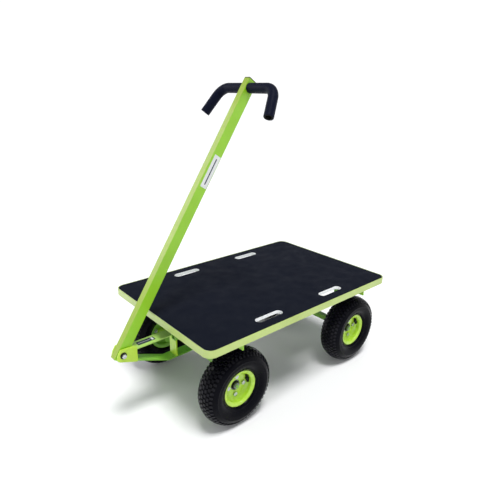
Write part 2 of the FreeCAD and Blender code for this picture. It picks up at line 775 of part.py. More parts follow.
def pivot_bolt():
    """Bolt through the fork with a washer under its head and a washer and nut opposite."""
    bolt = hex_bolt("drawbar_bolt", "pivot_flats", "pivot_head", "pivot_bolt",
                    "2 * fork_face + 2 * pivot_washer_thick + pivot_nut + pivot_spare")
    ring = washer("drawbar_washer", "pivot_washer", "pivot_washer_thick",
                  "pivot_bolt + running_gap")
    nut = hex_nut("drawbar_nut", "pivot_flats", "pivot_nut", "pivot_bolt + running_gap")
    outside = "fork_face + pivot_washer_thick"
    place(bolt, "pivot_x", outside, "pivot_height", (1, 0, 0), -90)
    place(nut, "pivot_x", f"-({outside})", "pivot_height", (1, 0, 0), 90)
    near = copies("washer_left", ring, [("pivot_x", "fork_face", "pivot_height")], (1, 0, 0), -90)
    far = copies("washer_right", ring, [("pivot_x", "-fork_face", "pivot_height")], (1, 0, 0), 90)
    return [group("pivot_bolt", [bolt, nut] + near + far)]


def yoke_tag():
    tag = doc.addObject("Part::Box", "yoke_tag")
    bind(tag, Length="tag_long", Width="tag_wide", Height="tag_thick")
    return [place(tag, "deck_nose + tag_ahead - tag_long / 2", "-tag_wide / 2", "strap_top")]


# ---------------------------------------------------------------- drawbar

def on_drawbar(item):
    """Stand a piece, modelled upright about the pivot, on the parked drawbar's line."""
    place(item, "pivot_x", "0", "pivot_height", (0, -1, 0), value("bar_lean"))
    item.setExpression("Placement.Rotation.Angle", formula("bar_lean * 1 deg"))
    return item


def drawbar_tube():
    body = new_body("drawbar_tube")
    sketch = new_sketch(body, "XY", "-bar_tail")
    rectangle(sketch, "bar_deep", "bar_wide")
    rectangle(sketch, "bar_deep - 2 * bar_wall", "bar_wide - 2 * bar_wall")
    pad(body, sketch, "bar_length + bar_tail")
    holes = new_sketch(body, "XZ")
    circle(holes, "bush_radius")
    circle(holes, "hand_radius", "0", "hand_up")
    cut(body, holes)
    return [on_drawbar(body)]


def drawbar_cap():
    """Lid on the tube's end with a short plug inside it."""
    body = new_body("drawbar_cap")
    plug = new_sketch(body, "XY", "bar_length - cap_plug")
    rectangle(plug, "bar_deep - 2 * bar_wall", "bar_wide - 2 * bar_wall")
    pad(body, plug, "cap_plug")
    lid = new_sketch(body, "XY", "bar_length")
    rounded(lid, "bar_deep", "bar_wide", "cap_corner")
    pad(body, lid, "cap_thick")
    return [on_drawbar(body)]


def pivot_bush():
    body = new_body("pivot_bush")
    sketch = new_sketch(body, "XZ")
    circle(sketch, "bush_radius")
    circle(sketch, "pivot_bolt + running_gap")
    pad(body, sketch, "2 * (fork_inside - bush_play)", middle=True)
    return [on_drawbar(body)]


def handle_route(body, start):
    """Half of the handle's centre line: straight out, one bend, and the drooping end."""
    sketch = new_sketch(body, "YZ")
    spots = [(start, "hand_up"), ("hand_first", "hand_up"), ("hand_arc_y", "hand_arc_z"),
             ("hand_end_y", "hand_end_z")]
    points = [FreeCAD.Vector(value(u), value(v), 0) for u, v in spots]
    centre = FreeCAD.Vector(value("hand_first"), value("hand_up - hand_bend"), 0)
    half_turn = (points[1] + points[2]) / 2 - centre
    crest = centre + half_turn.normalize() * value("hand_bend")
    straight = sketch.addGeometry(Part.LineSegment(points[0], points[1]), False)
    bend = sketch.addGeometry(Part.Arc(points[1], crest, points[2]), False)
    leg = sketch.addGeometry(Part.LineSegment(points[2], points[3]), False)
    for line, ends in ((straight, spots[:2]), (leg, spots[2:])):
        pin(sketch, line, 1, *ends[0])
        pin(sketch, line, 2, *ends[1])
    first = 1 if sketch.getPoint(bend, 1).distanceToPoint(points[1]) < 0.01 else 2
    sketch.addConstraint(Sketcher.Constraint("Coincident", bend, first, straight, 2))
    sketch.addConstraint(Sketcher.Constraint("Coincident", bend, 3 - first, leg, 1))
    index = sketch.addConstraint(Sketcher.Constraint("Radius", bend, value("hand_bend")))
    sketch.setExpression(f"Constraints[{index}]", formula("hand_bend"))
    return sketch


def handle_sleeve(label, outside, inside, start):
    """Round tube along half of the handle's route."""
    body = new_body(label)
    ring = new_sketch(body, "XZ", f"-({start})")
    circle(ring, outside, "0", "hand_up")
    circle(ring, inside, "0", "hand_up")
    route = handle_route(body, start)
    pipe = body.newObject("PartDesign::AdditivePipe", label + "_pipe")
    pipe.Profile = ring
    pipe.Spine = route
    doc.recompute()
    return body, pipe


def handle_bar():
    body, pipe = handle_sleeve("handle_bar", "hand_radius", "hand_radius - hand_wall", "0")
    mirrored = body.newObject("PartDesign::Mirrored", "handle_bar_mirrored")
    mirrored.Originals = [pipe]
    middle = [f for f in body.Origin.OriginFeatures if f.Role == "XZ_Plane"][0]
    mirrored.MirrorPlane = (middle, [""])
    body.Tip = mirrored
    doc.recompute()
    return [on_drawbar(body)]


def grips():
    left, _ = handle_sleeve("grip_left", "hand_radius + grip_gap + grip_thick",
                            "hand_radius + grip_gap", "bar_wide / 2")
    on_drawbar(left)
    right = doc.addObject("Part::Mirroring", "grip_right")
    right.Source = left
    right.Normal = (0, 1, 0)
    right.Base = (0, 0, 0)
    return [left, right]


def drawbar_label():
    body = new_body("drawbar_label")
    sketch = new_sketch(body, "XZ", "-bar_wide / 2 - tag_thick")
    rectangle(sketch, "label_wide", "label_long", "-label_back", "label_up")
    pad(body, sketch, "tag_thick")
    return [on_drawbar(body)]


# ---------------------------------------------------------------- wheels

def turned(label, corners):
    """Ring turned about Y from one closed outline of (radius, distance outboard)."""
    body = new_body(label)
    sketch = new_sketch(body, "XY")
    outline(sketch, corners)
    revolve(body, sketch)
    return body


def both_sides(half):
    """Outline points of one side, then the same points in reverse on the other side."""
    return half + [(radius, f"0 - ({out})") for radius, out in reversed(half)]


def tyre():
    """Balloon tyre: beads, sidewalls, shoulders and crown."""
    crown = "wheel_radius - tread_thick"
    side = "tyre_half - side_thick"
    outside = [("seat_radius + bead_gap", "rim_half - 14"),
               ("seat_radius + bead_gap", "rim_half - 7.7"),
               ("seat_radius + 6.2", "rim_half - 4.7"), ("rim_radius + 0.5", "rim_half - 2.8"),
               ("rim_radius + 3", "rim_half + 3"), ("rim_radius + 11", "tyre_half - 5.5"),
               ("rim_radius + 29", "tyre_half"), ("wheel_radius - 22", "tyre_half - 2.5"),
               ("wheel_radius - 10", "tyre_half - 9.5"), ("wheel_radius - 3", "tyre_half - 20.5"),
               ("wheel_radius", "tyre_half - 34.5")]
    inside = [("seat_radius + 7", "rim_half - 10"), ("rim_radius + 5", f"{side} - 11.5"),
              ("rim_radius + 13", f"{side} - 4.5"), ("rim_radius + 29", side),
              (f"{crown} - 18", f"{side} - 2.5"), (f"{crown} - 10", f"{side} - 6.5"),
              (f"{crown} - 3", "tyre_half - 22.5"), (crown, "tyre_half - 34.5")]
    back = [(radius, f"0 - ({out})") for radius, out in inside]
    return turned("wheel_tyre", both_sides(outside) + back + list(reversed(inside)))


def rim_outline(side):
    """Pressed rim half: flat disc, sloping wall, bead seat and rolled flange."""
    wall = "seat_radius - disc_radius"
    points = [("hub_radius", "0"), ("disc_radius + rim_sheet / 2", "0"),
              ("seat_radius", f"{wall} - rim_sheet / 2"), ("seat_radius", "rim_half - 7"),
              ("seat_radius + 6", "rim_half - 4"), ("rim_radius", "rim_half - 2.5"),
              ("rim_radius", "rim_half"), ("rim_radius - 5", "rim_half"),
              ("seat_radius - rim_sheet", "rim_half - 5"), ("seat_radius - rim_sheet", wall),
              ("disc_radius", "rim_sheet"), ("hub_radius", "rim_sheet")]
    return [(radius, f"({side}) * ({out})") for radius, out in points]


def bolt_spots():
    """Rim bolt centres round the axis, with the valve straight up."""
    spots = []
    for quarter in range(4):
        angle = f"((90 + 90 * {quarter}) * 1 deg + rim_bolt_turn * 1 deg)"
        spots.append((f"bolt_circle * cos{angle}", f"bolt_circle * sin{angle}"))
    return spots


def rim_half_disc(label, side):
    body = turned(label, rim_outline(side))
    holes = new_sketch(body, "XZ")
    for x, z in bolt_spots():
        circle(holes, "rim_bolt_radius", x, z)
    cut(body, holes)
    return body


def rim_outer():
    """The outboard half, with a slot for the valve's foot through its sloping wall."""
    body = rim_half_disc("wheel_rim_outer", 1)
    opening = new_sketch(body, "XY", "hub_radius")
    slot(opening, "valve_foot + 2 * foot_gap", "2 * (valve_radius + foot_gap)", "0",
         "valve_offset")
    blind_cut(body, opening, "seat_radius + 3 - (hub_radius)")
    return body


def inner_tube():
    """Hollow ring with the valve's rubber foot and stem."""
    body = new_body("wheel_inner_tube")
    section = new_sketch(body, "XY")
    circle(section, "tube_radius", "tube_middle")
    circle(section, "tube_radius - tube_thick", "tube_middle")
    revolve(body, section)
    foot_start = "seat_radius - foot_inside"
    ring_wall = "tube_middle - tube_radius + 1.8"
    stem = new_sketch(body, "XY", "valve_tip")
    circle(stem, "valve_radius", "0", "valve_offset")
    pad(body, stem, f"{ring_wall} - valve_tip")
    foot = new_sketch(body, "XY", foot_start)
    slot(foot, "valve_foot", "2 * valve_radius", "0", "valve_offset")
    pad(body, foot, f"{ring_wall} - ({foot_start})")
    return body


def hub_tube():
    back = "0 - bearing_inset - 2 * bearing_width - (bearing_pitch - bearing_width) - 1"
    return turned("wheel_hub_tube", [("bearing_radius", back), ("hub_radius", back),
                                     ("hub_radius", "rim_sheet"),
                                     ("bearing_radius", "rim_sheet")])


def bearings():
    bore = "spindle_radius + running_gap"
    made = []
    for number, start in enumerate(("bearing_inset", "bearing_inset + bearing_pitch"), start=1):
        near, far = f"0 - ({start})", f"0 - ({start}) - bearing_width"
        made.append(turned(f"wheel_bearing_{number}", [(bore, near), (bore, far),
                                                       ("bearing_radius", far),
                                                       ("bearing_radius", near)]))
    return group("wheel_bearings", made)


def rim_bolts():
    length = "2 * rim_sheet + rim_bolt_nut + 1.5"
    bolt = hex_bolt("rim_bolt", "rim_bolt_flats", "rim_bolt_head", "rim_bolt_radius", length)
    nut = hex_nut("rim_nut", "rim_bolt_flats", "rim_bolt_nut", "rim_bolt_radius + running_gap")
    heads = [(x, "rim_sheet", z) for x, z in bolt_spots()]
    tails = [(x, "0 - rim_sheet", z) for x, z in bolt_spots()]
    outward, inward = -90, 90
    return group("wheel_rim_bolts", copies("rim_bolt", bolt, heads, (1, 0, 0), outward)
                 + copies("rim_nut", nut, tails, (1, 0, 0), inward))


# Each wheel: its name, place along X, side, and the angle of its valve round the axle.
WHEELS = (("front_left", "kingpin_x", 1, -77), ("front_right", "kingpin_x", -1, 35),
          ("rear_left", "rear_x", 1, -67), ("rear_right", "rear_x", -1, 110))


def wheels():
    """Every wheel piece is modelled once, with its outer side to +Y, and placed four times."""
    parts = {"tyre": tyre(), "inner_tube": inner_tube(), "rim_outer": rim_outer(),
             "rim_inner": rim_half_disc("wheel_rim_inner", -1), "hub_tube": hub_tube(),
             "bearings": bearings(), "rim_bolts": rim_bolts()}
    made = []
    for wheel, x, side, valve in WHEELS:
        facing = rotation((0, 0, 1), 0 if side > 0 else 180)
        turn = facing * rotation((0, 1, 0), valve)
        for name, source in parts.items():
            item = group(f"{wheel}_{name}", [source])
            place(item, x, f"({side}) * wheel_aside", "wheel_radius",
                  tuple(turn.Axis), math.degrees(turn.Angle))
            made.append(item)
    return made


# ---------------------------------------------------------------- build and export

def check(pieces):
    bad = [item.Label for item in doc.Objects
           if any(word in item.State for word in ("Invalid", "Error"))]
    bad += [item.Label for item in pieces
            if item.Shape.isNull() or not item.Shape.isValid() or not item.Shape.Solids]
    if bad:
        raise RuntimeError("not usable: " + ", ".join(bad))


def export(pieces):
    os.makedirs("parts", exist_ok=True)
    for item in pieces:
        item.Shape.exportStep(os.path.join("parts", item.Label + ".step"))
        print(item.Label, len(item.Shape.Solids), round(item.Shape.Volume / 1000, 1))


fill_sheet()
chassis = (deck_frame() + deck_board() + rails() + outriggers() + board_screws()
           + turntable_top_plate() + kingpin() + rear_axle() + rear_axle_brackets()
           + wheel_nuts("rear_wheel_nuts", "rear_x"))
turntable = turntable_races() + turntable_balls() + turntable_lower_plate()
yoke = (upper_strap() + lower_strap() + yoke_post() + fork_bracket() + front_axle_beam()
        + drop_legs() + stub_axles() + wheel_nuts("front_wheel_nuts", "kingpin_x")
        + pivot_bolt() + yoke_tag())
drawbar = (drawbar_tube() + drawbar_cap() + pivot_bush() + handle_bar() + grips()
           + drawbar_label())
everything = chassis + turntable + yoke + drawbar + wheels()
doc.recompute()
check(everything)
export(everything)
print(len(everything), "pieces")
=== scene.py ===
import bpy
import bmesh
import json
import math
from mathutils import Matrix, Vector


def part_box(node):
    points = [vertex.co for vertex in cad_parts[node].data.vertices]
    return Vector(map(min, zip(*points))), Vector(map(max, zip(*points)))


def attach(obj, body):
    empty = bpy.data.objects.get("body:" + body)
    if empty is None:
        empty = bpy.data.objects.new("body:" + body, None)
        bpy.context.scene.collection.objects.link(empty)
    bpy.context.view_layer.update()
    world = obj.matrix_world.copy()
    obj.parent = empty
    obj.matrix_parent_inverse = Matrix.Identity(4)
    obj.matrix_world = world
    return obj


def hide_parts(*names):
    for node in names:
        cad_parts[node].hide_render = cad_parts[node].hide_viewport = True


# Platform trolley with balloon tyres, a film faced deck and a tilting drawbar.
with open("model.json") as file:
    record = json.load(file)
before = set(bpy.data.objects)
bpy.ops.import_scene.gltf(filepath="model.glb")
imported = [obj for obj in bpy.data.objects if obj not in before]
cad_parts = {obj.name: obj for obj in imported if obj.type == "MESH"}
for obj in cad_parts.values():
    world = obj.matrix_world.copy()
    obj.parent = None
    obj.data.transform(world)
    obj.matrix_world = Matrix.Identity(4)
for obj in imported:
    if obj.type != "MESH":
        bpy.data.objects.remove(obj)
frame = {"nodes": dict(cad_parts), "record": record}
cad = frame["nodes"]
bodyOf = {node: body for body, members in frame["record"]["behaviour"]["bodies"].items()
          for node in members}
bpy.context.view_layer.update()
mm = 0.001
print("frame loaded:", len(cad), "nodes")


# materials

def startMaterial(name, look):
    mat = bpy.data.materials.new(name)
    mat.use_nodes = True
    tree = mat.node_tree
    shader = tree.nodes["Principled BSDF"]
    shader.inputs["Base Color"].default_value = (*look["colour"], 1)
    shader.inputs["Roughness"].default_value = look["rough"]
    shader.inputs["Metallic"].default_value = look.get("metal", 0.0)
    shader.inputs["Specular IOR Level"].default_value = look.get("specular", 0.5)
    coords = tree.nodes.new("ShaderNodeTexCoord").outputs["Object"]
    return mat, tree, shader, coords


def noise(tree, coords, scale, detail=4.0):
    made = tree.nodes.new("ShaderNodeTexNoise")
    made.inputs["Scale"].default_value = scale
    made.inputs["Detail"].default_value = detail
    tree.links.new(coords, made.inputs["Vector"])
    return made.outputs["Fac"]


def spread(tree, source, low, high, fromLow=0.3, fromHigh=0.7):
    made = tree.nodes.new("ShaderNodeMapRange")
    for name, number in (("From Min", fromLow), ("From Max", fromHigh),
                         ("To Min", low), ("To Max", high)):
        made.inputs[name].default_value = number
    tree.links.new(source, made.inputs["Value"])
    return made.outputs["Result"]


def blendColours(tree, factor, first, second):
    made = tree.nodes.new("ShaderNodeMix")
    made.data_type = "RGBA"
    tree.links.new(factor, made.inputs[0])
    for socket, colour in zip([s for s in made.inputs if s.type == "RGBA"], (first, second)):
        if isinstance(colour, tuple):
            socket.default_value = (*colour, 1)
        else:
            tree.links.new(colour, socket)
    return [s for s in made.outputs if s.type == "RGBA"][0]


def bump(tree, shader, height, distance, strength=1.0):
    made = tree.nodes.new("ShaderNodeBump")
    made.inputs["Strength"].default_value = strength
    made.inputs["Distance"].default_value = distance
    tree.links.new(height, made.inputs["Height"])
    tree.links.new(made.outputs["Normal"], shader.inputs["Normal"])


def tinted(look, share):
    return tuple(min(1.0, channel * share) for channel in look["colour"])


paintGrain = {"coatRough": 0.12, "clouds": 9.0, "cloudTint": 0.93, "specks": 420.0,
              "speckTint": 0.62, "speckShare": 0.16, "speckFrom": 0.62, "speckTo": 0.80,
              "glossPatches": 60.0, "glossLow": 0.85, "glossHigh": 1.2, "peelGrain": 650.0}


def powderPaint(name, look):                # cured powder paint: slight orange peel, even shine
    grain = paintGrain
    mat, tree, shader, coords = startMaterial(name, look)
    shader.inputs["Coat Weight"].default_value = look["coat"]
    shader.inputs["Coat Roughness"].default_value = grain["coatRough"]
    cloud = spread(tree, noise(tree, coords, grain["clouds"], 5.0), 0.0, 1.0)
    patch = blendColours(tree, cloud, tinted(look, grain["cloudTint"]), look["dust"])
    speck = spread(tree, noise(tree, coords, grain["specks"], 2.0), 0.0, grain["speckShare"],
                   grain["speckFrom"], grain["speckTo"])
    tree.links.new(blendColours(tree, speck, patch, tinted(look, grain["speckTint"])),
                   shader.inputs["Base Color"])
    gloss = spread(tree, noise(tree, coords, grain["glossPatches"]),
                   look["rough"] * grain["glossLow"], look["rough"] * grain["glossHigh"])
    tree.links.new(gloss, shader.inputs["Roughness"])
    bump(tree, shader, noise(tree, coords, grain["peelGrain"], 2.0), look["peel"])
    return mat


waveUnit = 0.314                            # wave texture scale that gives one band a metre


def meshFilm(name, look):                   # phenolic film with a pressed wire mesh pattern
    mat, tree, shader, coords = startMaterial(name, look)
    waves = []
    for direction in ("X", "Y"):
        wave = tree.nodes.new("ShaderNodeTexWave")
        wave.bands_direction = direction
        wave.inputs["Scale"].default_value = waveUnit / look["pitch"]
        wave.inputs["Distortion"].default_value = 0.0
        tree.links.new(coords, wave.inputs["Vector"])
        waves.append(wave.outputs["Fac"])
    crossing = tree.nodes.new("ShaderNodeMath")
    crossing.operation = "MAXIMUM"
    tree.links.new(waves[0], crossing.inputs[0])
    tree.links.new(waves[1], crossing.inputs[1])
    wires = spread(tree, crossing.outputs[0], 0.0, 1.0, 0.80, 1.0)
    wear = spread(tree, noise(tree, coords, 5.0, 6.0), 0.0, 1.0, 0.35, 0.75)
    ground = blendColours(tree, wear, look["colour"], look["worn"])
    tree.links.new(blendColours(tree, wires, ground, look["wire"]), shader.inputs["Base Color"])
    tree.links.new(spread(tree, noise(tree, coords, 22.0, 6.0), look["rough"] * 0.8,
                          look["rough"] * 1.15), shader.inputs["Roughness"])
    bump(tree, shader, wires, look["relief"], 0.6)
    return mat


def plyEdge(name, look):                    # cut plywood sealed with pale paint, plies showing; the pale is lifted further as painted light, standing in for the bright floor seen through the slots
    mat, tree, shader, coords = startMaterial(name, look)
    wave = tree.nodes.new("ShaderNodeTexWave")
    wave.bands_direction = "Z"
    wave.inputs["Scale"].default_value = waveUnit / look["ply"]
    wave.inputs["Distortion"].default_value = 0.6
    wave.inputs["Detail Scale"].default_value = 40.0
    tree.links.new(coords, wave.inputs["Vector"])
    plies = spread(tree, wave.outputs["Fac"], 0.0, 0.55, 0.2, 0.9)
    tree.links.new(blendColours(tree, plies, look["colour"], look["grain"]),
                   shader.inputs["Base Color"])
    bump(tree, shader, noise(tree, coords, 300.0), 0.0002)
    return mat


def mouldedRubber(name, look):              # tyre and tube rubber: fine skin, dusty bloom
    mat, tree, shader, coords = startMaterial(name, look)
    bloom = spread(tree, noise(tree, coords, 14.0, 6.0), 0.0, 1.0, 0.35, 0.72)
    tree.links.new(blendColours(tree, bloom, look["colour"], look["bloom"]),
                   shader.inputs["Base Color"])
    tree.links.new(spread(tree, noise(tree, coords, 90.0), look["rough"] * 0.85,
                          look["rough"] * 1.2), shader.inputs["Roughness"])
    bump(tree, shader, noise(tree, coords, look["grain"], 3.0), look["relief"])
    return mat


def foamRubber(name, look):                 # closed cell foam: dense pores and a soft sheen
    mat, tree, shader, coords = startMaterial(name, look)
    shader.inputs["Sheen Weight"].default_value = 0.02
    shader.inputs["Sheen Roughness"].default_value = 0.5
    cells = tree.nodes.new("ShaderNodeTexVoronoi")
    cells.inputs["Scale"].default_value = 900.0
    tree.links.new(coords, cells.inputs["Vector"])
    pores = spread(tree, cells.outputs["Distance"], 0.0, 1.0, 0.1, 0.6)
    tree.links.new(blendColours(tree, pores, look["colour"], look["cell"]),
                   shader.inputs["Base Color"])
    bump(tree, shader, pores, 0.0003, 0.7)
    return mat


def zincPlate(name, look):                  # bright zinc: cloudy tone and fine scratches
    mat, tree, shader, coords = startMaterial(name, look)
    cloud = spread(tree, noise(tree, coords, 120.0, 5.0), 0.0, 1.0)
    tree.links.new(blendColours(tree, cloud, look["colour"], look["cloud"]),
                   shader.inputs["Base Color"])
    tree.links.new(spread(tree, noise(tree, coords, 400.0), look["rough"] * 0.7,
                          look["rough"] * 1.4), shader.inputs["Roughness"])
    bump(tree, shader, noise(tree, coords, 900.0, 2.0), 0.00005)
    return mat


def plainFilm(name, look):                  # blank printed film and moulded plastic
    mat, tree, shader, coords = startMaterial(name, look)
    tree.links.new(blendColours(tree, spread(tree, noise(tree, coords, 80.0), 0.0, 1.0),
                                look["colour"], look["shade"]), shader.inputs["Base Color"])
    bump(tree, shader, noise(tree, coords, 700.0, 2.0), 0.00004)
    return mat


# one green paint on the whole trolley, held in tones that are set piece by piece; these tones are
# painted light and shade: paler copies on lit pieces, darker ones on shaded pieces
paints = {
    "framePaint": {"colour": (0.275, 0.565, 0.013), "dust": (0.28, 0.59, 0.022), "rough": 0.34,
                   "coat": 0.15, "peel": 0.00005},
    # paler, yellower green on the hoop: painted light, standing in for the lit hoop and its
    # reflection
    "hoopPaint": {"colour": (0.45, 0.58, 0.15), "dust": (0.49, 0.62, 0.19), "rough": 0.36,
                  "coat": 0.3, "peel": 0.00005},
    # yellower green for the drawbar's sunlit front face: painted light, standing in for the warm
    # light on that face
    "sunFaceGreenPaintedLight": {"colour": (0.29, 0.43, 0.022), "dust": (0.32, 0.46, 0.035), "rough": 0.36,
                 "coat": 0.3, "peel": 0.00005},
    # brighter green on the yoke post and fork cheeks: painted light
    "forkPaint": {"colour": (0.47, 0.72, 0.030), "dust": (0.50, 0.74, 0.05), "rough": 0.32,
                  "coat": 0.3, "peel": 0.00005},
    # lighter green on the upper strap: painted light
    "strapPaint": {"colour": (0.42, 0.68, 0.14), "dust": (0.45, 0.71, 0.17), "rough": 0.38,
                   "coat": 0.3, "peel": 0.00005},
    # darker green for pieces under the deck, the inner rims and hidden welds: painted shade
    "shadePaint": {"colour": (0.19, 0.46, 0.040), "dust": (0.21, 0.48, 0.05), "rough": 0.42,
                   "coat": 0.15, "peel": 0.00006},
    # brighter green on the outer rims and hubs: painted light
    "rimPaint": {"colour": (0.44, 0.72, 0.040), "dust": (0.48, 0.74, 0.055), "rough": 0.26,
                 "coat": 0.5, "peel": 0.00004},
}
finishes = {name: powderPaint(name, look) for name, look in paints.items()}
finishes["deckFilm"] = meshFilm("deckFilm", {
    "colour": (0.0034, 0.0048, 0.0105), "worn": (0.0050, 0.0066, 0.0130), "rough": 0.55,
    "wire": (0.0105, 0.0130, 0.0220), "pitch": 0.0036, "relief": 0.00025, "specular": 0.02})
# near-white slot walls: partly the pale sealed ply, partly painted light
finishes["plyEdge"] = plyEdge("plyEdge", {
    "colour": (0.93, 0.95, 0.96), "grain": (0.82, 0.83, 0.82), "ply": 0.0016, "rough": 0.7})
finishes["tyreRubber"] = mouldedRubber("tyreRubber", {
    "colour": (0.0010, 0.0011, 0.0028), "bloom": (0.0020, 0.0022, 0.0048), "rough": 0.24,
    "grain": 500.0, "relief": 0.00012, "specular": 0.06})
# tread blocks paler and bluer than the tyre: the paler blue-grey is a painted glint
finishes["treadRubberPaintedGlint"] = mouldedRubber("treadRubberPaintedGlint", {
    "colour": (0.0022, 0.0022, 0.0045), "bloom": (0.0060, 0.0058, 0.0105), "rough": 0.22,
    "grain": 400.0, "relief": 0.00015, "specular": 0.16})
finishes["tubeRubber"] = mouldedRubber("tubeRubber", {
    "colour": (0.004, 0.004, 0.005), "bloom": (0.008, 0.008, 0.010), "rough": 0.5,
    "grain": 700.0, "relief": 0.0001, "specular": 0.2})
finishes["gripFoam"] = foamRubber("gripFoam", {
    "colour": (0.0018, 0.0028, 0.0110), "cell": (0.0036, 0.0052, 0.0180), "rough": 0.45,
    "specular": 0.06})
finishes["zinc"] = zincPlate("zinc", {
    "colour": (0.62, 0.64, 0.66), "cloud": (0.45, 0.47, 0.50), "rough": 0.27, "metal": 1.0})
# darker steel; on the wheel nuts and bearing rings it is painted shade
finishes["darkSteelAndPaintedShade"] = zincPlate("darkSteelAndPaintedShade", {
    "colour": (0.30, 0.31, 0.33), "cloud": (0.20, 0.21, 0.23), "rough": 0.33, "metal": 1.0})
# black plastic for the caps and handle; on the bolt washers it is a painted shadow ring
finishes["blackCap"] = plainFilm("blackCap", {
    "colour": (0.008, 0.009, 0.008), "shade": (0.013, 0.013, 0.013), "rough": 0.45,
    "specular": 0.2})
finishes["paleNylon"] = plainFilm("paleNylon", {
    "colour": (0.68, 0.66, 0.58), "shade": (0.62, 0.60, 0.52), "rough": 0.5})
finishes["whiteFilm"] = plainFilm("whiteFilm", {
    "colour": (0.72, 0.74, 0.73), "shade": (0.67, 0.69, 0.68), "rough": 0.3})
finishes["navyFilm"] = plainFilm("navyFilm", {
    "colour": (0.010, 0.020, 0.060), "shade": (0.007, 0.014, 0.042), "rough": 0.3,
    "specular": 0.3})
print("materials:", len(finishes))


# modelling helpers

def addPiece(name, bm, finish, body, replaces=(), creaseAngle=20.0):
    mesh = bpy.data.meshes.new(name)
    bm.to_mesh(mesh)
    bm.free()
    mesh.shade_smooth()
    mesh.set_sharp_from_angle(angle=math.radians(creaseAngle))
    piece = bpy.data.objects.new(name, mesh)
    bpy.context.scene.collection.objects.link(piece)
    for one in (finish if isinstance(finish, (list, tuple)) else [finish]):
        mesh.materials.append(finishes[one])
    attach(piece, body)
    if replaces:
        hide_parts(*replaces)
    return piece


def mergedCopy(node):                       # the node's own shape, with flat faces joined up
    bm = bmesh.new()
    bm.from_mesh(cad[node].data)
    for layer in list(bm.loops.layers.uv.values()):
        bm.loops.layers.uv.remove(layer)
    bmesh.ops.remove_doubles(bm, verts=bm.verts, dist=2e-6)
    bmesh.ops.dissolve_limit(bm, angle_limit=math.radians(0.5), verts=bm.verts, edges=bm.edges,
                             use_dissolve_boundaries=False)
    return bm


def roundEdges(bm, width, fromAngle=28.0, segments=2):
    sharp = [edge for edge in bm.edges if len(edge.link_faces) == 2
             and edge.calc_face_angle() > math.radians(fromAngle)]
    bmesh.ops.bevel(bm, geom=sharp, offset=width, offset_type="OFFSET", segments=segments,
                    profile=0.5, affect="EDGES", material=-1, clamp_overlap=True)
    return bm


def turnProfile(points, steps):             # points are (radius, out) round the Y axis
    bm = bmesh.new()
    ring = [bm.verts.new((radius * mm, out * mm, 0)) for radius, out in points]
    edges = [bm.edges.new((a, b)) for a, b in zip(ring, ring[1:] + ring[:1])]
    bmesh.ops.spin(bm, geom=ring + edges, cent=(0, 0, 0), axis=(0, 1, 0), angle=2 * math.pi,
                   steps=steps, use_merge=True)
    bmesh.ops.remove_doubles(bm, verts=bm.verts, dist=1e-6)
    bmesh.ops.recalc_face_normals(bm, faces=bm.faces)
    return bm


def middleOf(node):
    low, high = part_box(node)
    return (low + high) / 2


# steelwork: every painted piece gets its own rounded edges

steelwork = {
    "deck_frame": {"round": 0.9, "finish": "hoopPaint"},
    "outriggers": {"round": 0.6, "finish": "framePaint"},
    "rail_left": {"round": 0.8, "finish": "shadePaint"},
    "rail_right": {"round": 0.8, "finish": "shadePaint"},
    "rear_axle": {"round": 1.0, "finish": "shadePaint"},
    "rear_axle_brackets": {"round": 0.8, "finish": "shadePaint"},
    "turntable_top_plate": {"round": 0.6, "finish": "shadePaint"},
    "turntable_lower_plate": {"round": 0.6, "finish": "shadePaint"},
    "upper_strap": {"round": 0.7, "finish": "strapPaint"},
    "lower_strap": {"round": 0.7, "finish": "shadePaint"},
    "yoke_post": {"round": 0.6, "finish": "forkPaint"},
    "fork_bracket": {"round": 0.8, "finish": "forkPaint"},
    "front_axle_beam": {"round": 1.5, "finish": "shadePaint"},
    "drop_legs": {"round": 1.0, "finish": "shadePaint"},
    "stub_axles": {"round": 1.0, "finish": "shadePaint"},
    "drawbar_cap": {"round": 0.7, "finish": "blackCap"},
    "handle_bar": {"round": 0.5, "finish": "blackCap"},
    "pivot_bush": {"round": 0.3, "finish": "paleNylon"},
    "kingpin": {"round": 0.6, "finish": "zinc"},
    "board_screws": {"round": 0.4, "finish": "zinc"},
    "grip_left": {"round": 1.3, "finish": "gripFoam"},
    "grip_right": {"round": 1.3, "finish": "gripFoam"},
}
wheelNames = ["front_left", "front_right", "rear_left", "rear_right"]
for wheel in wheelNames:
    # outer rims take the painted light green, inner rims the painted shade green
    steelwork[wheel + "_rim_outer"] = {"round": 0.9, "finish": "rimPaint"}
    steelwork[wheel + "_rim_inner"] = {"round": 0.9, "finish": "shadePaint"}
    steelwork[wheel + "_hub_tube"] = {"round": 0.5, "finish": "rimPaint"}
    steelwork[wheel + "_rim_bolts"] = {"round": 0.5, "finish": "zinc"}
for node, look in steelwork.items():
    shape = roundEdges(mergedCopy(node), look["round"] * mm)
    addPiece(node + "_made", shape, look["finish"], bodyOf[node], [node])
print("steelwork:", len(steelwork))


# drawbar: the tube's sunlit front face gets a paler, yellower green, as painted light

drawbarLook = {"lean": 33.0, "round": 1.6, "facing": 0.9}


def makeDrawbar():
    bm = roundEdges(mergedCopy("drawbar_tube"), drawbarLook["round"] * mm)
    lean = math.radians(drawbarLook["lean"])
    front = Vector((math.cos(lean), 0, math.sin(lean)))
    bm.normal_update()
    for face in bm.faces:
        # faces turned to the front take the painted sunlit green
        face.material_index = 1 if face.normal.dot(front) > drawbarLook["facing"] else 0
    addPiece("drawbar_tube_made", bm, ["framePaint", "sunFaceGreenPaintedLight"], "drawbar",
             ["drawbar_tube"])


makeDrawbar()


# deck board: film on the faces, sealed ply in the slots

deckLook = {"edge": 0.6, "rim": 10.0, "uprightBelow": 0.3}


